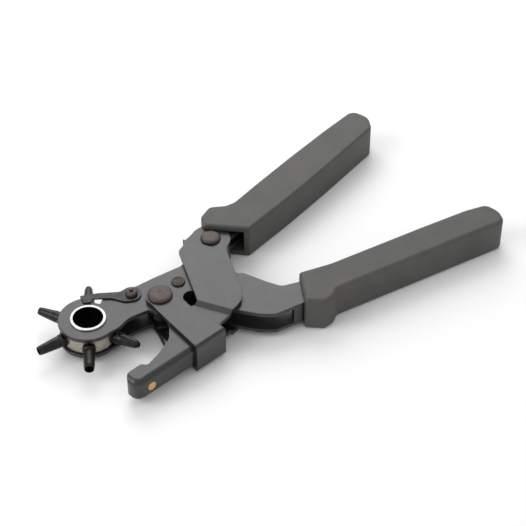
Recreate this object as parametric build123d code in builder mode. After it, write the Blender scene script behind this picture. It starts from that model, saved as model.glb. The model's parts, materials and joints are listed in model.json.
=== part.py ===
"""Rotary hole punch for leather: a compound-action plier with a six-tube punch wheel.

Millimetres, +Z up. The tool lies flat with its jaws towards -X and its handles towards +X.
The origin is at the bottom centre of the open tool's box. Plan points are measured from the
main pivot, and heights from the tool's mid plane, so every sketch stands on level(height).
"""
import os
from math import asin, atan2, cos, degrees, hypot, radians, sin

from build123d import *

os.makedirs("parts", exist_ok=True)

# ---- Driving dimensions -------------------------------------------------------------
PIVOT_X = -59.22
PIVOT_Y = -15.91
GRIP_HALF = 10.0
SHEET = 2.0
GAP_HALF = 4.5
PLATE_TOP = GAP_HALF + SHEET
SLIDE = 0.3
WIDE_IN = PLATE_TOP + SLIDE
WIDE_TOP = WIDE_IN + SHEET
FIT = 0.05
EDGE = 0.4

# Pivots, from the main pivot
WHEEL = (-37.6, 5.2)
LINK = (13.4, 6.2)
HANDLE = (43.6, 27.2)
LATCH_SCREW = (-11.3, 9.6)
LATCH_SCREW_R = 1.5

# Shanks and heads of the rivets
MAIN_R = 4.0
MAIN_HEAD_R = 6.4
LINK_R = 2.5
LINK_HEAD_R = 3.6
HANDLE_R = 3.25
HANDLE_HEAD_R = 5.3

# Punch wheel
DISC_R = 15.1
DRUM_R = 14.0
DRUM_HALF = GAP_HALF - 0.2
EYELET_BORE_R = 7.5
EYELET_R = 8.3
EYELET_LIP_R = 9.2
TUBE_COUNT = 6
TUBE_PHASE = -55.2
TUBE_TIP_R = 28.6
TUBE_SEAT_R = 9.6
TUBE_SHANK_R = 2.8
TUBE_BASE_R = 3.0
TUBE_COLLAR_R = 3.4
SMALLEST_HOLE = 2.0
HOLE_STEP = 0.5

# Anvil arm: its web lies square to ARM_ANGLE, at set distances from the main pivot
ARM_ANGLE = 13.3
ARM_WEB = 38.0
ANVIL_FACE = 28.2
ANVIL_ALONG = -38.1
ANVIL_R = 3.9
ANVIL_TAIL_R = 2.35

# Wide plates: the sheet steps out over the lever frame and in again at the neck
STEP_ANGLE = 39.0
STEP_OUT = 2.0
STEP_IN = 42.4
STEP_RUN = 2.0
NECK_R = 10.4
NOSE = -47.6
BEND_R = 3.2
CREASE = 0.4
NOSE_WALL = 3.3

# Handle core and grips
CORE_IN = 2.2
CORE_TOP = GAP_HALF - SLIDE
CORE_HALF_WIDTH = 5.5
CORE_ANGLE = 18.3
CORE_LENGTH = 88.0
SHANK_END = 150.0

# Return spring, wound clockwise going up from its lower leg
WIRE_R = 0.7
COIL_R = 6.2
COIL_PITCH = 1.5
FULL_TURNS = 3
UPPER_LEG_Z = 1.3
LEG_CLEAR = 0.1
BUSH_R = 5.0

# ---- Frames and outlines ------------------------------------------------------------
ARM = (cos(radians(ARM_ANGLE)), sin(radians(ARM_ANGLE)))
OUT = (sin(radians(ARM_ANGLE)), -cos(radians(ARM_ANGLE)))


def level(height):
    """The plan plane through the main pivot, at a height from the mid plane."""
    return Plane(origin=(PIVOT_X, PIVOT_Y, GRIP_HALF + height))


def at(point, height=0.0):
    """A plan point and a height, as a place in the tool's frame."""
    return (PIVOT_X + point[0], PIVOT_Y + point[1], GRIP_HALF + height)


def arm_point(along, out):
    """A plan point given along the anvil arm and outwards from the main pivot."""
    return (along * ARM[0] + out * OUT[0], along * ARM[1] + out * OUT[1])


def outline(corners, mode=Mode.ADD):
    """A closed face through (x, y, corner radius) corners."""
    with BuildLine() as rim:
        FilletPolyline([(x, y) for x, y, _ in corners], radius=[r for *_, r in corners], close=True)
    make_face(rim.edges(), mode=mode)


def rivet(centre, shank_r, head_r, head_in, head_top, head_bottom):
    """A domed rivet through the tool, its heads starting at +-head_in."""
    with BuildPart() as pin:
        with BuildSketch(level(-head_in)):
            with Locations(centre):
                Circle(shank_r)
        extrude(amount=2 * head_in)
        for side, head in ((1, head_top), (-1, head_bottom)):
            with BuildSketch(level(side * head_in)):
                with Locations(centre):
                    Circle(head_r)
            extrude(amount=side * head)
        rims = pin.edges().filter_by(GeomType.CIRCLE).sort_by(Axis.Z)
        fillet([rims[0], rims[-1]], 0.7 * min(head_top, head_bottom))
    return pin


# ---- Lever frame: punch jaw and shank of the lower handle ---------------------------
JAW = [
    (-38, 20.2, 0), (-31, 18.2, 8), (-22, 15.0, 12), (-12, 13.8, 20), (4, 15.4, 20), (24, 16.6, 20),
    (38.0, 16.6, 3), (41.6, 3.0, 20), (41.8, -2.2, 3), (45.6, -4.2, 3), (52.6, -15.6, 12),
    (57.5, -22.4, 6), (70, -24.6, 30), (84, -26.0, 30), (SHANK_END, -26.6, 2), (SHANK_END, -36.4, 2),
    (78, -36.8, 30), (62, -38.6, 30), (44.5, -38.8, 5), (37.6, -34.6, 6), (28.8, -25.8, 3),
    (14.7, -11.2, 5), (3.0, -6.0, 0), (-9, -4.4, 10), (-20, -4.6, 12), (-27, -8.2, 10), (-38, -9.8, 0),
]
WEB_GAP = [
    (-80, -70, 0), (55.3, -70, 0), (55.3, -36.6, 0), (62, -36.6, 0), (78, -34.8, 0),
    (SHANK_END + 9, -34.4, 0), (SHANK_END + 9, 40, 0), (-80, 40, 0),
]
PIVOT_DISC_R = 9.5
SIDE_NOTCH = (14.4, -6.8)
SIDE_NOTCH_R = 4.5
LATCH_NOTCH = [(-31.2, 13.4), (-27.8, 11.6), (-24.6, 14.8), (-24.6, 24.0), (-31.2, 24.0)]

with BuildPart() as lever_frame:
    with BuildSketch(level(-PLATE_TOP)):
        outline(JAW)
        with Locations(WHEEL):
            Circle(DISC_R)
        Circle(PIVOT_DISC_R)
    extrude(amount=2 * PLATE_TOP)
    rims = lever_frame.faces().filter_by(Axis.Z).edges()
    fillet(rims, EDGE)
    with BuildSketch(level(-GAP_HALF)):
        outline(WEB_GAP)
    extrude(amount=2 * GAP_HALF, mode=Mode.SUBTRACT)
    with BuildSketch(level(-PLATE_TOP)):
        Circle(MAIN_R)
        with Locations(WHEEL):
            Circle(EYELET_R)
        with Locations(LINK):
            Circle(LINK_R)
        with Locations(SIDE_NOTCH):
            Circle(SIDE_NOTCH_R)
    extrude(amount=2 * PLATE_TOP, mode=Mode.SUBTRACT)
    with BuildSketch(level(GAP_HALF)):
        Polygon(LATCH_NOTCH, align=None)
        with Locations(LATCH_SCREW):
            Circle(LATCH_SCREW_R)
    extrude(amount=SHEET, mode=Mode.SUBTRACT)
lever_frame.part.label = "lever_frame"
export_step(lever_frame.part, "parts/lever_frame.step")

main_rivet = rivet((0, 0), MAIN_R, MAIN_HEAD_R, WIDE_TOP + 0.15, 1.6, 0.95)
main_rivet.part.label = "main_rivet"
export_step(main_rivet.part, "parts/main_rivet.step")
link_rivet = rivet(LINK, LINK_R, LINK_HEAD_R, PLATE_TOP, 1.3, 1.3)
link_rivet.part.label = "link_rivet"
export_step(link_rivet.part, "parts/link_rivet.step")

with BuildPart() as main_bush:
    with BuildSketch(level(-GAP_HALF)):
        Circle(BUSH_R)
        Circle(MAIN_R, mode=Mode.SUBTRACT)
    extrude(amount=2 * GAP_HALF)
main_bush.part.label = "main_bush"
export_step(main_bush.part, "parts/main_bush.step")

# ---- Anvil lever: arm, wide plates and neck folded from one sheet -------------------
ARM_PLAN = [
    (*arm_point(NOSE, ARM_WEB), 5.2), (*arm_point(8.6, ARM_WEB), 0), (17.3, -30.4, 1.5),
    (29.6, -25.8, 2), (33.8, -23.2, 3), (37.4, -17.7, 20), (39.9, -9.0, 20), (42.9, 3.9, 20),
    (44.9, 11.6, 3), (48.6, 18.1, 0), (*HANDLE, 0), (37.0, 35.2, 0), (29.4, 31.6, 4),
    (27.6, 27.2, 3), (23.4, 24.6, 3), (14.4, -13.2, 2), (5.8, -11.3, 4), (-3.6, -12.4, 4),
    (-5.4, -20.0, 12), (-9.2, -27.2, 6), (-17.7, -33.4, 20), (-26.4, -37.9, 1.8),
    (*arm_point(-36.4, ANVIL_FACE), 1.5), (*arm_point(NOSE, ANVIL_FACE), 4.2),
]
NOSE_INNER = NOSE + NOSE_WALL
FAR = 90.0
POCKET = [
    (*arm_point(NOSE_INNER, ARM_WEB - SHEET), 0.3), (*arm_point(FAR, ARM_WEB - SHEET), 0),
    (*arm_point(FAR, -FAR), 0), (*arm_point(NOSE_INNER, -FAR), 0),
]
BLANK = [
    (*arm_point(NOSE, ARM_WEB), 5.2), (*arm_point(FAR, ARM_WEB), 0), (*arm_point(FAR, -FAR), 0),
    (*arm_point(NOSE, -FAR), 0),
]

# The neck's curved flange stands in this wedge, clear of the core on both sides of it
NECK_FLANGE = [(0, 0), (-2.0, -16.0), (12.0, -16.0), (16.0, -11.0)]


def step_point(across, along):
    """A plan point given across the sheet's steps and along them."""
    turn = radians(STEP_ANGLE)
    return across * cos(turn) + along * sin(turn), across * sin(turn) - along * cos(turn)


def step_profile(side):
    """Section of the sheet across its two steps: arm level, wide level, neck level."""
    start = STEP_OUT - SHEET / 2
    inner = [(start, GAP_HALF), (STEP_OUT, GAP_HALF), (STEP_OUT + STEP_RUN, WIDE_IN)]
    inner += [(STEP_IN, WIDE_IN), (STEP_IN + STEP_RUN, GAP_HALF), (FAR, GAP_HALF)]
    outer = [(FAR, PLATE_TOP), (STEP_IN + STEP_RUN + CREASE, PLATE_TOP), (STEP_IN + CREASE, WIDE_TOP)]
    outer += [(STEP_OUT + STEP_RUN - CREASE, WIDE_TOP), (STEP_OUT - CREASE, PLATE_TOP)]
    outer += [(start, PLATE_TOP)]
    return [(across, side * height) for across, height in inner + outer]


def arm_place(edge):
    """How far along the anvil arm, and how far out from the pivot, an edge's middle lies."""
    x = edge.center().X - PIVOT_X
    y = edge.center().Y - PIVOT_Y
    return x * ARM[0] + y * ARM[1], x * OUT[0] + y * OUT[1]


def on_bend(edge):
    """Whether an edge runs along the web's fold or round the nose."""
    along, out = arm_place(edge)
    level_edge = abs(abs(edge.center().Z - GRIP_HALF) - PLATE_TOP) < 0.01
    return level_edge and (out > ARM_WEB - NOSE_WALL or along < NOSE + NOSE_WALL)


step_dir = (cos(radians(STEP_ANGLE)), sin(radians(STEP_ANGLE)), 0)
fold_plane = Plane(origin=at((0, 0)), x_dir=step_dir, z_dir=(step_dir[1], -step_dir[0], 0))
with BuildPart() as wide_plates:
    for side in (1, -1):
        with BuildSketch(fold_plane):
            Polygon(step_profile(side), align=None)
        extrude(amount=FAR, both=True)
    with BuildSketch(level(-WIDE_TOP)):
        outline(ARM_PLAN)
        with Locations(HANDLE):
            Circle(NECK_R)
    extrude(amount=2 * WIDE_TOP, mode=Mode.INTERSECT)

with BuildPart() as anvil_lever:
    with BuildSketch(level(-PLATE_TOP)):
        outline(BLANK)
    extrude(amount=2 * PLATE_TOP)
    fillet(anvil_lever.edges().filter_by(on_bend), BEND_R)
    with BuildSketch(level(-PLATE_TOP)):
        outline(ARM_PLAN)
        with BuildLine() as beyond_step:
            Polyline([step_point(STEP_OUT, -FAR), step_point(FAR, -FAR), step_point(FAR, FAR),
                      step_point(STEP_OUT, FAR)], close=True)
        make_face(beyond_step.edges(), mode=Mode.SUBTRACT)
    extrude(amount=2 * PLATE_TOP, mode=Mode.INTERSECT)
    with BuildSketch(level(-GAP_HALF)):
        outline(POCKET)
    extrude(amount=2 * GAP_HALF, mode=Mode.SUBTRACT)
    add(wide_plates.part)
    with BuildSketch(level(-GAP_HALF)):
        with Locations(HANDLE):
            Circle(NECK_R)
            Circle(NECK_R - SHEET, mode=Mode.SUBTRACT)
            Polygon(NECK_FLANGE, align=None, mode=Mode.INTERSECT)
    extrude(amount=2 * GAP_HALF)
    with BuildSketch(level(-PLATE_TOP)):
        with Locations(HANDLE):
            Circle(HANDLE_R)
    extrude(amount=2 * PLATE_TOP, mode=Mode.SUBTRACT)
    with BuildSketch(Plane(origin=at(arm_point(ANVIL_ALONG, ARM_WEB - SHEET)), z_dir=(*OUT, 0))):
        Circle(ANVIL_TAIL_R)
    extrude(amount=SHEET, mode=Mode.SUBTRACT)
anvil_lever.part.label = "anvil_lever"
export_step(anvil_lever.part, "parts/anvil_lever.step")

with BuildPart() as brass_anvil:
    with BuildSketch(Plane(origin=at(arm_point(ANVIL_ALONG, ANVIL_FACE)), z_dir=(*OUT, 0))):
        Circle(ANVIL_R)
    extrude(amount=ARM_WEB - SHEET - ANVIL_FACE)
    chamfer(brass_anvil.edges().filter_by(GeomType.CIRCLE), 0.3)
    with BuildSketch(Plane(origin=at(arm_point(ANVIL_ALONG, ARM_WEB - SHEET)), z_dir=(*OUT, 0))):
        Circle(ANVIL_TAIL_R)
    extrude(amount=SHEET + 0.1)
brass_anvil.part.label = "brass_anvil"
export_step(brass_anvil.part, "parts/brass_anvil.step")

STIRRUP_PLAN = [
    (-6.8, -2.0, 0), (-6.2, -9.0, 20), (*arm_point(-10.8, ARM_WEB + SHEET), 0),
    (*arm_point(8.0, ARM_WEB + SHEET), 0), (9.6, -14.2, 10), (6.9, -2.6, 0), (0, 0, 0),
]
STIRRUP_R = 7.4
STIRRUP_BEND_R = 1.9
STIRRUP_GAP = [
    arm_point(-FAR, -FAR), arm_point(FAR, -FAR), arm_point(FAR, ARM_WEB), arm_point(-FAR, ARM_WEB),
]


def on_stirrup_bend(edge):
    """Whether an edge is one of the stirrup's two folds."""
    height = abs(edge.center().Z - GRIP_HALF)
    return arm_place(edge)[1] > ARM_WEB + SHEET - 0.01 and abs(height - WIDE_TOP) < 0.01


with BuildPart() as stirrup:
    with BuildSketch(level(-WIDE_TOP)):
        outline(STIRRUP_PLAN)
        Circle(STIRRUP_R)
    extrude(amount=2 * WIDE_TOP)
    fillet(stirrup.edges().filter_by(on_stirrup_bend), STIRRUP_BEND_R)
    with BuildSketch(level(-WIDE_IN)):
        Polygon(STIRRUP_GAP, align=None)
    extrude(amount=2 * WIDE_IN, mode=Mode.SUBTRACT)
    with BuildSketch(level(-WIDE_TOP)):
        Circle(MAIN_R + FIT)
    extrude(amount=2 * WIDE_TOP, mode=Mode.SUBTRACT)
stirrup.part.label = "stirrup"
export_step(stirrup.part, "parts/stirrup.step")

handle_rivet = rivet(HANDLE, HANDLE_R, HANDLE_HEAD_R, PLATE_TOP, 1.8, 1.8)
handle_rivet.part.label = "handle_rivet"
export_step(handle_rivet.part, "parts/handle_rivet.step")

# ---- Return spring: round the main bush, one leg on the link rivet, one on the arm ---
upper_leg_reach = LINK_R + WIRE_R + LEG_CLEAR
link_far = hypot(*LINK)
link_turn = degrees(atan2(LINK[1], LINK[0]))
upper_tangent = link_turn + 90 - degrees(asin((COIL_R - upper_leg_reach) / link_far))
upper_leg_length = link_far + 3.0
lower_end = arm_point(-20.0, ARM_WEB - SHEET - WIRE_R - LEG_CLEAR)
lower_far = hypot(*lower_end)
lower_turn = degrees(atan2(lower_end[1], lower_end[0])) + 360
lower_tangent = lower_turn - degrees(atan2((lower_far**2 - COIL_R**2) ** 0.5, COIL_R))
lower_leg_length = (lower_far**2 - COIL_R**2) ** 0.5
coil_turns = FULL_TURNS + (lower_tangent - upper_tangent) / 360
coil_height = coil_turns * COIL_PITCH


def around(angle, radius=1.0):
    """A plan direction or point at an angle round the main pivot."""
    return radius * cos(radians(angle)), radius * sin(radians(angle))


with BuildLine(level(UPPER_LEG_Z - coil_height)) as coil:
    Helix(COIL_PITCH, coil_height, COIL_R, lefthand=True)
coil_path = coil.line.rotate(Axis(at((0, 0)), (0, 0, 1)), lower_tangent)

with BuildPart() as return_spring:
    with BuildSketch(Plane(origin=coil_path @ 0, z_dir=coil_path % 0)):
        Circle(WIRE_R)
    sweep(path=coil_path, is_frenet=True)
    for end, direction, length in (
        (coil_path @ 0, around(lower_tangent + 90), lower_leg_length),
        (coil_path @ 1, around(upper_tangent - 90), upper_leg_length),
    ):
        with BuildSketch(Plane(origin=end, z_dir=(*direction, 0))):
            Circle(WIRE_R)
        extrude(amount=length)
return_spring.part.label = "return_spring"
export_step(return_spring.part, "parts/return_spring.step")

# ---- Upper handle: slotted core folded from sheet, and its grip ---------------------
link_reach = hypot(HANDLE[0] - LINK[0], HANDLE[1] - LINK[1])
nose_turn = degrees(atan2(LINK[1] - HANDLE[1], LINK[0] - HANDLE[0]))
SLOT_SHIFT = 0.12
SLOT_RUN = 1.0
SLOT_CLEAR = 0.2
core_dir = (cos(radians(CORE_ANGLE)), sin(radians(CORE_ANGLE)))
core_end = (HANDLE[0] + CORE_LENGTH * core_dir[0], HANDLE[1] + CORE_LENGTH * core_dir[1])
slot_centre = (
    HANDLE[0] + (link_reach + SLOT_SHIFT) * cos(radians(nose_turn)),
    HANDLE[1] + (link_reach + SLOT_SHIFT) * sin(radians(nose_turn)),
)


def core_plane(height):
    """The plan plane through the handle rivet, with X along the upper handle."""
    return Plane(origin=at(HANDLE, height), x_dir=(*core_dir, 0), z_dir=(0, 0, 1))


CORE_WEB_START = 14.0
CORE_GAP = [
    (-70, -60), (-70, 60), (CORE_WEB_START, 60), (CORE_WEB_START, CORE_HALF_WIDTH - SHEET),
    (CORE_LENGTH + 20, CORE_HALF_WIDTH - SHEET), (CORE_LENGTH + 20, -60),
]
with BuildPart() as handle_core:
    for far_point in (LINK, core_end):
        with BuildSketch(level(-CORE_TOP)):
            with Locations(HANDLE, far_point):
                Circle(CORE_HALF_WIDTH)
            make_hull()
        extrude(amount=2 * CORE_TOP)
    with BuildSketch(core_plane(-CORE_IN)):
        Polygon(CORE_GAP, align=None)
    extrude(amount=2 * CORE_IN, mode=Mode.SUBTRACT)
    with BuildSketch(level(-CORE_TOP)):
        with Locations(HANDLE):
            Circle(HANDLE_R + FIT)
        with Locations(slot_centre):
            SlotCenterToCenter(SLOT_RUN, 2 * (LINK_R + SLOT_CLEAR), rotation=nose_turn)
    extrude(amount=2 * CORE_TOP, mode=Mode.SUBTRACT)
handle_core.part.label = "handle_core"
export_step(handle_core.part, "parts/handle_core.step")

with BuildPart() as handle_bush:
    with BuildSketch(level(-CORE_IN)):
        with Locations(HANDLE):
            Circle(BUSH_R)
            Circle(HANDLE_R + FIT, mode=Mode.SUBTRACT)
    extrude(amount=2 * CORE_IN)
handle_bush.part.label = "handle_bush"
export_step(handle_bush.part, "parts/handle_bush.step")

UPPER_GRIP_EDGE = 1.4
LOWER_GRIP_EDGE = 2.2
UPPER_GRIP_PLAN = [
    (63.2, 20.6, 1.5), (94.6, 31.9, 60), (124.0, 43.6, 60), (165.2, 61.0, 5), (168.9, 70.0, 8),
    (163.8, 79.8, 5), (139.0, 71.4, 60), (111.0, 61.0, 60), (84.0, 50.4, 40), (67.0, 43.4, 6),
    (61.4, 43.2, 5), (53.4, 46.6, 4), (45.4, 41.6, 4), (44.2, 35.0, 1.5),
]
# The grip is a thin shell at its mouth, open round the neck; this pocket is in the core's plane
MOUTH = [(-5, -10.2), (24, -9.8), (24, 5.0), (-5, 5.0)]
NECK_CLEAR = 0.6
with BuildPart() as upper_grip:
    with BuildSketch(level(-GRIP_HALF)):
        outline(UPPER_GRIP_PLAN)
    extrude(amount=2 * GRIP_HALF)
    fillet(upper_grip.faces().filter_by(Axis.Z).edges(), UPPER_GRIP_EDGE)
    with BuildSketch(level(-CORE_TOP)):
        with Locations(HANDLE, core_end):
            Circle(CORE_HALF_WIDTH)
        make_hull()
    extrude(amount=2 * CORE_TOP, mode=Mode.SUBTRACT)
    with BuildSketch(level(-WIDE_IN)):
        with Locations(HANDLE):
            Circle(NECK_R + NECK_CLEAR)
    extrude(amount=2 * WIDE_IN, mode=Mode.SUBTRACT)
    with BuildSketch(core_plane(-WIDE_IN)):
        Polygon(MOUTH, align=None)
    extrude(amount=2 * WIDE_IN, mode=Mode.SUBTRACT)
upper_grip.part.label = "upper_grip"
export_step(upper_grip.part, "parts/upper_grip.step")

# ---- Lower grip: hand stop and four shallow finger dimples on the near side ---------
LOWER_GRIP_NEAR = -41.2
LOWER_GRIP_PLAN = [
    (60.4, -40.6, 1.5), (68.8, -46.4, 2.5), (74.6, -45.2, 2.5), (79.5, LOWER_GRIP_NEAR, 3),
    (183.0, LOWER_GRIP_NEAR, 5), (185.2, -33.0, 10), (182.2, -25.0, 5), (170.0, -23.2, 40),
    (140.0, -22.8, 60), (86, -22.8, 60), (68.8, -20.6, 1.5),
]
DIMPLE_R = 46.0
DIMPLE_DEPTH = 0.9
DIMPLE_COUNT = 4
DIMPLE_START = 96.0
DIMPLE_SPAN = 21.0
dimple_out = LOWER_GRIP_NEAR - DIMPLE_R + DIMPLE_DEPTH
dimple_places = [at((DIMPLE_START + i * DIMPLE_SPAN, dimple_out)) for i in range(DIMPLE_COUNT)]
with BuildPart() as lower_grip:
    with BuildSketch(level(-GRIP_HALF)):
        outline(LOWER_GRIP_PLAN)
    extrude(amount=2 * GRIP_HALF)
    fillet(lower_grip.faces().filter_by(Axis.Z).edges(), LOWER_GRIP_EDGE)
    with Locations(dimple_places):
        Sphere(DIMPLE_R, mode=Mode.SUBTRACT)
    with BuildSketch(level(-PLATE_TOP)):
        outline(JAW)
    extrude(amount=2 * PLATE_TOP, mode=Mode.SUBTRACT)
lower_grip.part.label = "lower_grip"
export_step(lower_grip.part, "parts/lower_grip.step")

# ---- Wheel: eyelet, drum and six graded tubes ---------------------------------------
LIP = 0.8
LIP_ROUND = 0.5
with BuildPart() as wheel_eyelet:
    with BuildSketch(level(-PLATE_TOP - LIP)):
        with Locations(WHEEL):
            Circle(EYELET_R)
    extrude(amount=2 * (PLATE_TOP + LIP))
    for side in (1, -1):
        with BuildSketch(level(side * PLATE_TOP)):
            with Locations(WHEEL):
                Circle(EYELET_LIP_R)
        extrude(amount=side * LIP)
    rims = wheel_eyelet.edges().filter_by(GeomType.CIRCLE).sort_by(Axis.Z)
    fillet([rims[0], rims[-1]], LIP_ROUND)
    with BuildSketch(level(-PLATE_TOP - LIP)):
        with Locations(WHEEL):
            Circle(EYELET_BORE_R)
    extrude(amount=2 * (PLATE_TOP + LIP), mode=Mode.SUBTRACT)
wheel_eyelet.part.label = "wheel_eyelet"
export_step(wheel_eyelet.part, "parts/wheel_eyelet.step")


def spoke(index):
    """The radial direction of a punch tube."""
    angle = radians(TUBE_PHASE + index * 360 / TUBE_COUNT)
    return (cos(angle), sin(angle), 0)


with BuildPart() as wheel_drum:
    with BuildSketch(level(-DRUM_HALF)):
        with Locations(WHEEL):
            Circle(DRUM_R)
            Circle(EYELET_R + FIT, mode=Mode.SUBTRACT)
    extrude(amount=2 * DRUM_HALF)
    chamfer(wheel_drum.edges().filter_by(GeomType.CIRCLE).group_by(SortBy.RADIUS)[-1], 0.5)
    for index in range(TUBE_COUNT):
        with BuildSketch(Plane(origin=at(WHEEL), z_dir=spoke(index)).offset(TUBE_SEAT_R)):
            Circle(TUBE_SHANK_R)
        extrude(amount=DRUM_R, mode=Mode.SUBTRACT)
wheel_drum.part.label = "wheel_drum"
export_step(wheel_drum.part, "parts/wheel_drum.step")

COLLAR_END = 16.4
BARREL_START = 16.9
TAPER_START = 19.0
CUTTING_EDGE = 0.15
TIP_WALL = 0.45
TIP_BEVEL = 1.6
THINNEST_TIP_R = 2.1
for index in range(TUBE_COUNT):
    bore_r = (SMALLEST_HOLE + index * HOLE_STEP) / 2
    barrel_r = max(bore_r + TIP_WALL, THINNEST_TIP_R)
    profile = [
        (TUBE_SEAT_R, bore_r), (TUBE_SEAT_R, TUBE_SHANK_R), (DRUM_R, TUBE_SHANK_R),
        (DRUM_R, TUBE_COLLAR_R), (COLLAR_END, TUBE_COLLAR_R), (BARREL_START, TUBE_BASE_R),
        (TAPER_START, TUBE_BASE_R), (TUBE_TIP_R - TIP_BEVEL, barrel_r),
        (TUBE_TIP_R, bore_r + CUTTING_EDGE), (TUBE_TIP_R, bore_r),
    ]
    with BuildPart() as punch_tube:
        with BuildSketch(Plane(origin=at(WHEEL), x_dir=spoke(index), z_dir=(0, 0, 1))):
            Polygon(profile, align=None)
        revolve(axis=Axis(at(WHEEL), spoke(index)))
    punch_tube.part.label = f"punch_tube_{index + 1}"
    export_step(punch_tube.part, f"parts/punch_tube_{index + 1}.step")

# ---- Latch: leaf spring on the jaw, its tip bent down at the wheel's rim -------------
LEAF = 0.8
LATCH_EYE_R = 5.0
LATCH_TIP_LOW = 3.8
LATCH_HOLE_R = 1.6
LATCH_PLAN = [
    (-11.3, 14.6, 0), (-15.6, 13.8, 4), (-19.2, 15.4, 8), (-25.6, 18.4, 10), (-30.6, 19.9, 0),
    (-34.4, 21.1, 0), (-35.2, 15.9, 1.5), (-32.0, 14.4, 1), (-29.8, 16.1, 1), (-26.8, 14.6, 4),
    (-21.2, 11.7, 8), (-16.8, 6.4, 3), (-13.6, 5.0, 0),
]
TIP_PLAN = [(-30.6, 19.9), (-34.4, 21.1), (-34.63, 20.34), (-30.83, 19.14)]
with BuildPart() as latch_spring:
    with BuildSketch(level(PLATE_TOP)):
        outline(LATCH_PLAN)
        with Locations(LATCH_SCREW):
            Circle(LATCH_EYE_R)
            Circle(LATCH_HOLE_R, mode=Mode.SUBTRACT)
    extrude(amount=LEAF)
    with BuildSketch(level(LATCH_TIP_LOW)):
        Polygon(TIP_PLAN, align=None)
    extrude(amount=PLATE_TOP - LATCH_TIP_LOW)
latch_spring.part.label = "latch_spring"
export_step(latch_spring.part, "parts/latch_spring.step")

SCREW_HEAD_R = 3.1
SCREW_HEAD = 1.9
SCREW_ROUND = 1.2
DRIVE_LENGTH = 3.2
DRIVE_WIDTH = 0.7
DRIVE_DEPTH = 1.1
DRIVE_TURN = 30
with BuildPart() as latch_screw:
    with BuildSketch(level(PLATE_TOP + LEAF)):
        with Locations(LATCH_SCREW):
            Circle(SCREW_HEAD_R)
    extrude(amount=SCREW_HEAD)
    fillet(latch_screw.edges().filter_by(GeomType.CIRCLE).sort_by(Axis.Z)[-1], SCREW_ROUND)
    with BuildSketch(level(GAP_HALF)):
        with Locations(LATCH_SCREW):
            Circle(LATCH_SCREW_R)
    extrude(amount=PLATE_TOP + LEAF - GAP_HALF)
    with BuildSketch(level(PLATE_TOP + LEAF + SCREW_HEAD)):
        with Locations(LATCH_SCREW):
            Rectangle(DRIVE_LENGTH, DRIVE_WIDTH, rotation=DRIVE_TURN)
            Rectangle(DRIVE_WIDTH, DRIVE_LENGTH, rotation=DRIVE_TURN)
    extrude(amount=-DRIVE_DEPTH, mode=Mode.SUBTRACT)
latch_screw.part.label = "latch_screw"
export_step(latch_screw.part, "parts/latch_screw.step")
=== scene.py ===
# %% [markdown]
# A revolving hole punch, dressed for its portrait
#
# The levers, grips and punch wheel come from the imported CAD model, which fixes every size
# and pivot. This script adds the camera, the light and the finishes, and two kinds of piece
# that are finer than the CAD ones: the riveted heads and the coiled return spring.
#
# The first step loads that model and reads where its three joints turn, because everything
# made here is placed from those pivots.

# %% Load the fixed frame
import json
import math

import bmesh
import bpy
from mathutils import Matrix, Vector


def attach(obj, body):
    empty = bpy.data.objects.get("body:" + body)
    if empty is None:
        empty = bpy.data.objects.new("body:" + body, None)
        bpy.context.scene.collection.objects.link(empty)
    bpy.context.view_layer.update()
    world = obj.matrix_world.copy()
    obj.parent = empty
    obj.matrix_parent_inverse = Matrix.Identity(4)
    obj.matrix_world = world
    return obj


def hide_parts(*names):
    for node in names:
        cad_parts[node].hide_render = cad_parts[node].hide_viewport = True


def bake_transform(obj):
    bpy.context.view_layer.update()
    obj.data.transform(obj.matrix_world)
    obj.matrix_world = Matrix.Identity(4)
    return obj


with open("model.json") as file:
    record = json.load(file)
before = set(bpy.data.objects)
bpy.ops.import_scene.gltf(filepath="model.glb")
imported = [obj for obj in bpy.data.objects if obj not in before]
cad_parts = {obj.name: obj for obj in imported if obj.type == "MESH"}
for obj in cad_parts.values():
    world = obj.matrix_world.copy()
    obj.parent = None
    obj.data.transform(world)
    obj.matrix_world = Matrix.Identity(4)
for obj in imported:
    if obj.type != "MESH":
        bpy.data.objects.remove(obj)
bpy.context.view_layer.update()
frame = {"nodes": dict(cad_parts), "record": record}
MM = 0.001


def pivot(joint_name):
    """Where a joint's axis stands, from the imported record."""
    joints = frame["record"]["behaviour"]["joints"]
    return Vector(next(j for j in joints if j["name"] == joint_name)["pos_m"])


MAIN = pivot("jaw_close")
HANDLE = pivot("handle_turn")
WHEEL = pivot("wheel_turn")
for name, place in (("main", MAIN), ("handle", HANDLE), ("wheel", WHEEL)):
    print(name, "pivot, mm:", [round(c / MM, 1) for c in place])

# %% [markdown]
# Camera
#
# The tool is seen from its lower handle's side, looking down at about 43 degrees, through
# a long lens from well back, so that its parallel edges stay nearly parallel. The camera
# aims at a point on the tool's mid plane, between the wheel and the handles' ends.

# %% Camera
CAMERA_AZIMUTH = math.radians(-30)
CAMERA_ELEVATION = math.radians(42.6)
CAMERA_DISTANCE = 0.85
CAMERA_LENS = 111.9
CAMERA_AIM = MAIN + Vector((61.4, 3.2, 0)) * MM

away = Vector((
    math.sin(CAMERA_AZIMUTH) * math.cos(CAMERA_ELEVATION),
    -math.cos(CAMERA_AZIMUTH) * math.cos(CAMERA_ELEVATION),
    math.sin(CAMERA_ELEVATION),
))
camera_data = bpy.data.cameras.new("camera")
camera_data.lens = CAMERA_LENS
camera = bpy.data.objects.new("camera", camera_data)
camera.location = CAMERA_AIM + away * CAMERA_DISTANCE
camera.rotation_euler = (-away).to_track_quat("-Z", "Y").to_euler()
bpy.context.scene.collection.objects.link(camera)
bpy.context.scene.camera = camera
print("camera at", [round(c, 3) for c in camera.location])

# %% [markdown]
# Light
#
# Black coated steel is drawn by what it mirrors, so it needs broad, even light: a white sky
# for the flat tops, and one large soft panel behind the tool, low enough that the tops
# catch its sheen while the near sides stay dark. A weaker panel on the left rounds off the
# wheel and its tubes.

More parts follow.
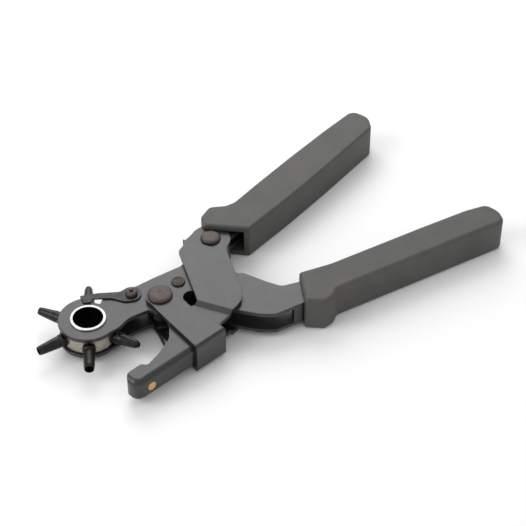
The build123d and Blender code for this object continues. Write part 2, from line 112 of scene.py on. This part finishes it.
# %% White sky
SKY_STRENGTH = 0.72
world = bpy.data.worlds.new("studio")
world.use_nodes = True
sky = world.node_tree.nodes["Background"].inputs
sky["Color"].default_value = (1.0, 1.0, 1.0, 1.0)
sky["Strength"].default_value = SKY_STRENGTH
bpy.context.scene.world = world
bpy.context.scene.view_settings.view_transform = "Standard"
print("sky strength", SKY_STRENGTH)

# %% Soft panels


def soft_panel(name, place, aim, size, watts):
    """A square area light at a place, facing a point."""
    data = bpy.data.lights.new(name, "AREA")
    data.size = size
    data.energy = watts
    panel = bpy.data.objects.new(name, data)
    panel.location = place
    panel.rotation_euler = (aim - Vector(place)).to_track_quat("-Z", "Y").to_euler()
    bpy.context.scene.collection.objects.link(panel)
    print(name, "gives", watts, "W over", size, "m")


CENTRE = Vector((0, 0, 0.01))
soft_panel("back_panel", place=(0.30, 0.75, 0.75), aim=CENTRE, size=0.9, watts=6.5)
soft_panel("left_panel", place=(-0.8, 0.1, 0.6), aim=CENTRE, size=0.6, watts=3.5)

# %% [markdown]
# Floor
#
# The tool lies on a plain white sweep of paper.

# %% Floor
FLOOR_REACH = 6.0
floor_mesh = bpy.data.meshes.new("floor")
floor_mesh.from_pydata(
    [(-FLOOR_REACH, -FLOOR_REACH, 0), (FLOOR_REACH, -FLOOR_REACH, 0),
     (FLOOR_REACH, FLOOR_REACH, 0), (-FLOOR_REACH, FLOOR_REACH, 0)],
    [], [(0, 1, 2, 3)],
)
floor = bpy.data.objects.new("floor", floor_mesh)
bpy.context.scene.collection.objects.link(floor)
print("floor, m:", 2 * FLOOR_REACH)

# %% [markdown]
# Finishes
#
# Every finish starts from what the real one is. Two helpers keep the node code short: one
# turns an sRGB hex colour to linear, the other adds a node with its settings and links. A
# socket that shares its name with others is given by its number, as in i0 for the first.

# %% Colour and node helpers


def linear(hex_colour):
    """Turn an sRGB hex colour to the linear colour that shaders use."""
    channels = [int(hex_colour[i:i + 2], 16) / 255 for i in (1, 3, 5)]
    curve = [c / 12.92 if c <= 0.04045 else ((c + 0.055) / 1.055) ** 2.4 for c in channels]
    return (*curve, 1.0)


def add(tree, kind, settings=None, **inputs):
    """Add a node; an input is a value, or an output socket to link."""
    node = tree.nodes.new(kind)
    for name, value in (settings or {}).items():
        setattr(node, name, value)
    for name, value in inputs.items():
        key = int(name[1:]) if name[1:].isdigit() else name.replace("_", " ")
        socket = node.inputs[key]
        if isinstance(value, bpy.types.NodeSocket):
            tree.links.new(value, socket)
        else:
            socket.default_value = value
    return node


print("mid grey is", round(linear("#808080")[0], 3), "in linear light")

# %% Starting a finish, and the two masks that all of them use
EDGE_START = 0.995
EDGE_FULL = 0.8


def finish_of(name):
    """A new material, its node tree, its shader and its object coordinates."""
    material = bpy.data.materials.new(name)
    material.use_nodes = True
    tree = material.node_tree
    shader = tree.nodes["Principled BSDF"]
    place = tree.nodes.new("ShaderNodeTexCoord").outputs["Object"]
    return material, tree, shader, place


def edge_mask(tree, radius_mm):
    """How strongly a point lies on an edge, and the normal rounded over that edge."""
    rounded = add(tree, "ShaderNodeBevel", {"samples": 6}, Radius=radius_mm * MM)
    flat = tree.nodes.new("ShaderNodeNewGeometry").outputs["Normal"]
    facing = add(
        tree, "ShaderNodeVectorMath", {"operation": "DOT_PRODUCT"},
        i0=rounded.outputs["Normal"], i1=flat,
    )
    mask = add(
        tree, "ShaderNodeMapRange",
        i0=facing.outputs["Value"], i1=EDGE_START, i2=EDGE_FULL, i3=0.0, i4=1.0,
    )
    return mask.outputs["Result"], rounded.outputs["Normal"]


def speckle(tree, place, size_mm, low, high, detail=3.0):
    """Noise of a real size, its middle range stretched between two limits."""
    noise = add(tree, "ShaderNodeTexNoise", Vector=place, Scale=1 / (size_mm * MM), Detail=detail)
    spread = add(tree, "ShaderNodeMapRange", i0=noise.outputs["Fac"], i1=0.3, i2=0.7, i3=low, i4=high)
    return spread.outputs["Result"]


def paint(tree, share, first, second):
    """A colour between two, by share; each is a colour or a socket."""
    mixed = add(tree, "ShaderNodeMix", {"data_type": "RGBA"}, i0=share, i6=first, i7=second)
    return mixed.outputs[2]


def bumped(tree, shader, height, strength, depth_mm, normal):
    """Raise the surface by a height, over edges that are already rounded."""
    relief = add(
        tree, "ShaderNodeBump",
        Strength=strength, Distance=depth_mm * MM, Height=height, Normal=normal,
    )
    tree.links.new(relief.outputs["Normal"], shader.inputs["Normal"])


# On the coating, the paler edge colour is a painted highlight as well as wear.
print("edges count as worn from a dot product of", EDGE_START, "down to", EDGE_FULL)

# %% [markdown]
# Satin black coating on sheet steel
#
# The levers are stamped sheet with a thin baked coating: dark grey, with a broad satin
# sheen, a very fine orange peel, and a paler line over the edges: a painted highlight,
# and partly wear where the coating thins.

# %% Satin coating


def satin_coating():
    """Baked satin coating over folded sheet steel."""
    material, tree, shader, place = finish_of("baked_satin_coating")
    edges, rounded = edge_mask(tree, 0.45)
    cloud = speckle(tree, place, 9.0, 0.0, 1.0)
    body = paint(tree, cloud, linear("#1e1f20"), linear("#222325"))
    # The paler edge colour is a painted highlight along the edges, and partly wear where the coating
    # thins.
    wear_and_highlight = add(tree, "ShaderNodeMath", {"operation": "MULTIPLY"}, i0=edges, i1=0.45)
    colour = paint(tree, wear_and_highlight.outputs["Value"], body, linear("#58595b"))
    tree.links.new(colour, shader.inputs["Base Color"])
    # The orange peel is about 0.3 mm wide on the real coating, drawn at 0.9 mm so that it shows
    peel = speckle(tree, place, 0.9, 0.0, 1.0)
    bumped(tree, shader, peel, 0.06, 0.05, rounded)
    sheen = speckle(tree, place, 4.0, 0.27, 0.34)
    tree.links.new(sheen, shader.inputs["Roughness"])
    shader.inputs["IOR"].default_value = 1.55
    return material


FINISH = {"coated_steel": satin_coating()}
print("made", FINISH["coated_steel"].name)

# %% [markdown]
# Turned and plated metal
#
# The rivets are oiled and browned, the drum is zinc plated and slightly yellow, and the
# tubes are hardened and left gunmetal dark. They share one recipe: a metal whose colour
# and gloss drift a little, with fine handling marks. The eyelet is nickel on its rolled
# lips, with painted shade of near black in its bore, so its colour depends on the distance
# from the wheel's axis.

# %% Metals
WEAR = 0.3


def metal(name, dark, light, edge, roughness, drift_mm, metallic):
    """A bare or plated metal between two shades, paler where its edges are worn."""
    material, tree, shader, place = finish_of(name)
    edges, rounded = edge_mask(tree, 0.25)
    shade = paint(tree, speckle(tree, place, drift_mm, 0.0, 1.0), linear(dark), linear(light))
    wear_and_highlight = add(tree, "ShaderNodeMath", {"operation": "MULTIPLY"}, i0=edges, i1=WEAR)
    colour = paint(tree, wear_and_highlight.outputs["Value"], shade, linear(edge))
    tree.links.new(colour, shader.inputs["Base Color"])
    marks = speckle(tree, place, 0.7, 0.0, 1.0)
    bumped(tree, shader, marks, 0.08, 0.03, rounded)
    gloss = speckle(tree, place, 2.5, roughness - 0.05, roughness + 0.07)
    tree.links.new(gloss, shader.inputs["Roughness"])
    shader.inputs["Metallic"].default_value = metallic
    return material


METALS = {
    "rivet_steel": ("browned_rivet_steel", "#3f3733", "#4f4641", "#6b625c", 0.46, 1.6, 0.6),
    "drum_steel": ("zinc_plate", "#8f8a7e", "#bab4a7", "#cfcabf", 0.34, 1.2, 0.85),
    "tube_steel": ("hardened_gunmetal", "#232120", "#322f2d", "#7a7673", 0.26, 2.2, 0.8),
    "spring_steel": ("blued_spring_steel", "#2c2c2e", "#363638", "#77787b", 0.3, 3.0, 0.8),
    "brass": ("drawn_brass", "#c79a58", "#dcb478", "#efd09a", 0.3, 1.2, 0.9),
}
for slot, recipe in METALS.items():
    FINISH[slot] = metal(*recipe)
print("made", [recipe[0] for recipe in METALS.values()])

# %% Nickel that is bright on the lips, with painted shade in the bore
EYELET_BORE_R = 7.5
BORE_SHADE_FADE = 0.25


def eyelet_nickel():
    """Nickel plating on the lips, with painted shade in the bore."""
    material = metal("bright_nickel", "#8d8d8a", "#a9a9a6", "#e4e4e1", 0.22, 2.0, 1.0)
    tree = material.node_tree
    shader = tree.nodes["Principled BSDF"]
    place = tree.nodes.new("ShaderNodeTexCoord").outputs["Object"]
    offset = add(tree, "ShaderNodeVectorMath", {"operation": "SUBTRACT"}, i0=place, i1=WHEEL)
    from_axis = add(
        tree, "ShaderNodeVectorMath", {"operation": "MULTIPLY"},
        i0=offset.outputs["Vector"], i1=(1.0, 1.0, 0.0),
    )
    reach = add(tree, "ShaderNodeVectorMath", {"operation": "LENGTH"}, i0=from_axis.outputs["Vector"])
    outside_bore_shade = add(
        tree, "ShaderNodeMapRange", i0=reach.outputs["Value"],
        i1=EYELET_BORE_R * MM, i2=(EYELET_BORE_R + BORE_SHADE_FADE) * MM, i3=0.0, i4=1.0,
    )
    bright = shader.inputs["Base Color"].links[0].from_socket
    # Near black inside the bore is painted shade; the nickel colour begins at the lip.
    colour = paint(tree, outside_bore_shade.outputs["Result"], linear("#0b0b0b"), bright)
    tree.links.new(colour, shader.inputs["Base Color"])
    dull = add(tree, "ShaderNodeMapRange", i0=outside_bore_shade.outputs["Result"], i1=0.0, i2=1.0, i3=0.6, i4=0.2)
    tree.links.new(dull.outputs["Result"], shader.inputs["Roughness"])
    return material


FINISH["nickel_plate"] = eyelet_nickel()
# Inside this radius the bore carries painted shade.
print("nickel begins", EYELET_BORE_R, "mm from the wheel's axis")

# %% [markdown]
# Moulded grips
#
# The grips are injection-moulded plastic with a fine spark-eroded grain, which scatters
# light evenly and keeps only a dull sheen on the edges that hands polish.

# %% Grip plastic


def grip_plastic():
    """Matte moulded plastic with an eroded grain."""
    material, tree, shader, place = finish_of("moulded_matte_plastic")
    edges, rounded = edge_mask(tree, 0.8)
    cloud = speckle(tree, place, 14.0, 0.0, 1.0)
    body = paint(tree, cloud, linear("#42413f"), linear("#4a4946"))
    tree.links.new(body, shader.inputs["Base Color"])
    # A real grain of about 0.1 mm, drawn at 0.7 mm so that it shows
    grain = speckle(tree, place, 0.7, 0.0, 1.0, detail=4.0)
    bumped(tree, shader, grain, 0.22, 0.06, rounded)
    polish = add(tree, "ShaderNodeMapRange", i0=edges, i1=0.0, i2=1.0, i3=0.58, i4=0.42)
    tree.links.new(polish.outputs["Result"], shader.inputs["Roughness"])
    shader.inputs["IOR"].default_value = 1.5
    return material


FINISH["grip_plastic"] = grip_plastic()
print("made", FINISH["grip_plastic"].name)

# %% Paper for the floor


def pale_floor():
    """A plain pale sweep."""
    material, _, shader, _ = finish_of("pale_paper_sweep")
    shader.inputs["Base Color"].default_value = linear("#f4f4f4")
    shader.inputs["Roughness"].default_value = 0.9
    return material


floor.data.materials.append(pale_floor())
print("the floor is", floor.data.materials[0].name)

# %% [markdown]
# Dressing the CAD pieces
#
# Most of the tool is already the right shape. Each CAD piece names the finish it needs in
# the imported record, so one loop gives every piece its own and leaves its mesh alone.

# %% Give every CAD node its finish
for row in frame["record"]["subparts"]:
    mesh = frame["nodes"][row["node"]].data
    mesh.materials.clear()
    mesh.materials.append(FINISH[row["material_slot"]])

# %% [markdown]
# Riveted heads
#
# A rivet's head is formed by a hollow tool that spins on it, which leaves a low dome with a
# rounded rim. The small link rivet was set with a ringed tool instead, and carries a
# groove round a dimpled boss. A turned profile is the honest way to make either: each
# head is the same few radii and heights, swept round the rivet's own axis.

# %% Helpers: a CAD node's box, and how a new piece takes its place


def node_box(name):
    """The corners of a CAD node's box, in metres."""
    corners = [v.co for v in frame["nodes"][name].data.vertices]
    low = Vector([min(c[i] for c in corners) for i in range(3)])
    high = Vector([max(c[i] for c in corners) for i in range(3)])
    return low, high


def finish_mesh(obj, node, body, slot, sharp_degrees):
    """Shade a piece and let it stand for a CAD node; a piece with no body is left unattached."""
    obj.data.polygons.foreach_set("use_smooth", [True] * len(obj.data.polygons))
    obj.data.set_sharp_from_angle(angle=math.radians(sharp_degrees))
    obj.data.materials.clear()
    obj.data.materials.append(FINISH[slot])
    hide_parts(node)
    if body:
        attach(obj, body)
    print(obj.name, "has", len(obj.data.polygons), "faces")


print("link rivet's box, mm:", [[round(c / MM, 1) for c in corner] for corner in node_box("link_rivet")])

# %% Lathe
LATHE_STEPS = 72


def turned(name, centre, profile):
    """A closed solid turned about a vertical axis from (radius, height) points in metres."""
    cut = bmesh.new()
    rings = []
    for radius, height in profile:
        if radius < 1e-7:
            rings.append([cut.verts.new((centre.x, centre.y, height))])
            continue
        rings.append([
            cut.verts.new((
                centre.x + radius * math.cos(2 * math.pi * k / LATHE_STEPS),
                centre.y + radius * math.sin(2 * math.pi * k / LATHE_STEPS),
                height,
            ))
            for k in range(LATHE_STEPS)
        ])
    for lower, upper in zip(rings, rings[1:]):
        for k in range(LATHE_STEPS):
            after = (k + 1) % LATHE_STEPS
            corners = [lower[k % len(lower)], lower[after % len(lower)],
                       upper[after % len(upper)], upper[k % len(upper)]]
            unique = list(dict.fromkeys(corners))
            if len(unique) > 2:
                cut.faces.new(unique)
    bmesh.ops.recalc_face_normals(cut, faces=cut.faces)
    mesh = bpy.data.meshes.new(name)
    cut.to_mesh(mesh)
    cut.free()
    obj = bpy.data.objects.new(name, mesh)
    bpy.context.scene.collection.objects.link(obj)
    return obj


print("each step of the lathe turns", 360 / LATHE_STEPS, "degrees")

# %% Head profiles, from the rim inwards: share of the radius, then depth below the crown
DOMED = [(1.0, 0.72), (0.985, 0.5), (0.94, 0.3), (0.87, 0.16), (0.7, 0.06), (0.45, 0.0),
         (0.22, 0.0), (0.12, 0.05), (0.0, 0.07)]
RINGED = [(1.0, 0.75), (0.98, 0.45), (0.91, 0.22), (0.8, 0.1), (0.7, 0.14), (0.62, 0.36),
          (0.55, 0.4), (0.5, 0.3), (0.42, 0.12), (0.3, 0.1), (0.18, 0.3), (0.0, 0.42)]


DEEPEST = 0.95


def riveted(node, shank_mm, seat_mm, head):
    """A rivet with two formed heads, which start at seat_mm above and below the mid plane."""
    low, high = node_box(node)
    centre = (low + high) / 2
    radius = (high.x - low.x) / 2
    middle = MAIN.z
    seat, shank = seat_mm * MM, shank_mm * MM
    top_head, bottom_head = high.z - middle - seat, middle - seat - low.z
    top = [(radius * share, high.z - top_head * min(depth, DEEPEST)) for share, depth in head]
    bottom = [(radius * share, low.z + bottom_head * min(depth, DEEPEST)) for share, depth in head]
    profile = bottom[::-1] + [(radius, middle - seat), (shank, middle - seat)]
    profile += [(shank, middle + seat), (radius, middle + seat)] + top
    return turned(node + "_formed", centre, profile)


# %% The three rivets: shank radius, seat, head and the body that each rides on
RIVETS = {
    "main_rivet": (4.0, 8.95, DOMED, "punch_lever"),
    "handle_rivet": (3.25, 6.5, DOMED, "anvil_side"),
    "link_rivet": (2.5, 6.5, RINGED, "punch_lever"),
}
for node, (shank_mm, seat_mm, head, body) in RIVETS.items():
    finish_mesh(riveted(node, shank_mm, seat_mm, head), node, body, "rivet_steel", 50)

# %% [markdown]
# The return spring
#
# The real spring is one length of hard wire: a straight leg, a little over three turns
# round the main rivet, and another leg. Geometry Nodes suits it, because the wire is one
# section carried along one path: the path is a line of points, and the tree turns it to a
# curve, sweeps a circle along it, caps its ends and gives it its finish.

# %% The wire's path
WIRE_R = 0.7
COIL_R = 6.2
COIL_TOP = 1.3
COIL_HEIGHT = 4.788
TURNS = 3.1917
UPPER_TANGENT = math.radians(103.502)
UPPER_LEG = 17.765
LOWER_LEG = 40.007
COIL_STEPS = 160


def coil_point(share):
    """A point on the coil, from its lower end at 0 to its upper end at 1."""
    angle = UPPER_TANGENT + (1 - share) * TURNS * 2 * math.pi
    height = COIL_TOP - COIL_HEIGHT * (1 - share)
    return MAIN + Vector((COIL_R * math.cos(angle), COIL_R * math.sin(angle), height)) * MM


path = [coil_point(i / COIL_STEPS) for i in range(COIL_STEPS + 1)]
start_angle = UPPER_TANGENT + TURNS * 2 * math.pi
lower_way = Vector((-math.sin(start_angle), math.cos(start_angle), 0))
upper_way = Vector((math.sin(UPPER_TANGENT), -math.cos(UPPER_TANGENT), 0))
LEG_STEPS = 12
lower_leg = [path[0] + lower_way * LOWER_LEG * MM * (1 - i / LEG_STEPS) for i in range(LEG_STEPS)]
upper_leg = [path[-1] + upper_way * UPPER_LEG * MM * (i + 1) / LEG_STEPS for i in range(LEG_STEPS)]
path = lower_leg + path + upper_leg
print("wire length, mm:", round(sum((b - a).length for a, b in zip(path, path[1:])) / MM, 1))

# %% The sweep tree


def wire_tree():
    """Geometry Nodes that turn a line of points into round wire."""
    tree = bpy.data.node_groups.new("round_wire", "GeometryNodeTree")
    sockets = (("Path", "INPUT", "NodeSocketGeometry"), ("Wire Radius", "INPUT", "NodeSocketFloat"),
               ("Sides", "INPUT", "NodeSocketInt"), ("Material", "INPUT", "NodeSocketMaterial"),
               ("Wire", "OUTPUT", "NodeSocketGeometry"))
    for name, way, kind in sockets:
        tree.interface.new_socket(name, in_out=way, socket_type=kind)
    given = tree.nodes.new("NodeGroupInput").outputs
    curve = add(tree, "GeometryNodeMeshToCurve", Mesh=given["Path"])
    section = add(tree, "GeometryNodeCurvePrimitiveCircle", {"mode": "RADIUS"},
                  Resolution=given["Sides"], Radius=given["Wire Radius"])
    wire = add(tree, "GeometryNodeCurveToMesh", Curve=curve.outputs["Curve"],
               Profile_Curve=section.outputs["Curve"], Fill_Caps=True)
    real = add(tree, "GeometryNodeRealizeInstances", Geometry=wire.outputs["Mesh"])
    coated = add(tree, "GeometryNodeSetMaterial",
                 Geometry=real.outputs["Geometry"], Material=given["Material"])
    result = tree.nodes.new("NodeGroupOutput")
    tree.links.new(coated.outputs["Geometry"], result.inputs["Wire"])
    return tree


# %% The path as a mesh line, with its sizes given to the tree
line_mesh = bpy.data.meshes.new("spring_path")
line_mesh.from_pydata(path, [(i, i + 1) for i in range(len(path) - 1)], [])
line = bpy.data.objects.new("spring_path", line_mesh)
bpy.context.scene.collection.objects.link(line)
sweep = line.modifiers.new("wire", "NODES")
sweep.node_group = wire_tree()
WIRE_INPUTS = {"Wire Radius": WIRE_R * MM, "Sides": 20, "Material": FINISH["spring_steel"]}
for item in sweep.node_group.interface.items_tree:
    if item.in_out == "INPUT" and item.name in WIRE_INPUTS:
        sweep[item.identifier] = WIRE_INPUTS[item.name]
print("sweeping a wire of radius", WIRE_R, "mm along", len(path), "points")

# %% Evaluate it once to a plain mesh
evaluated = line.evaluated_get(bpy.context.evaluated_depsgraph_get())
wire_mesh = bpy.data.meshes.new_from_object(evaluated)
line.modifiers.clear()
bpy.data.objects.remove(line)
spring = bpy.data.objects.new("return_spring_wire", wire_mesh)
bpy.context.scene.collection.objects.link(spring)
finish_mesh(spring, "return_spring", None, "spring_steel", 60)
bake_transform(spring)
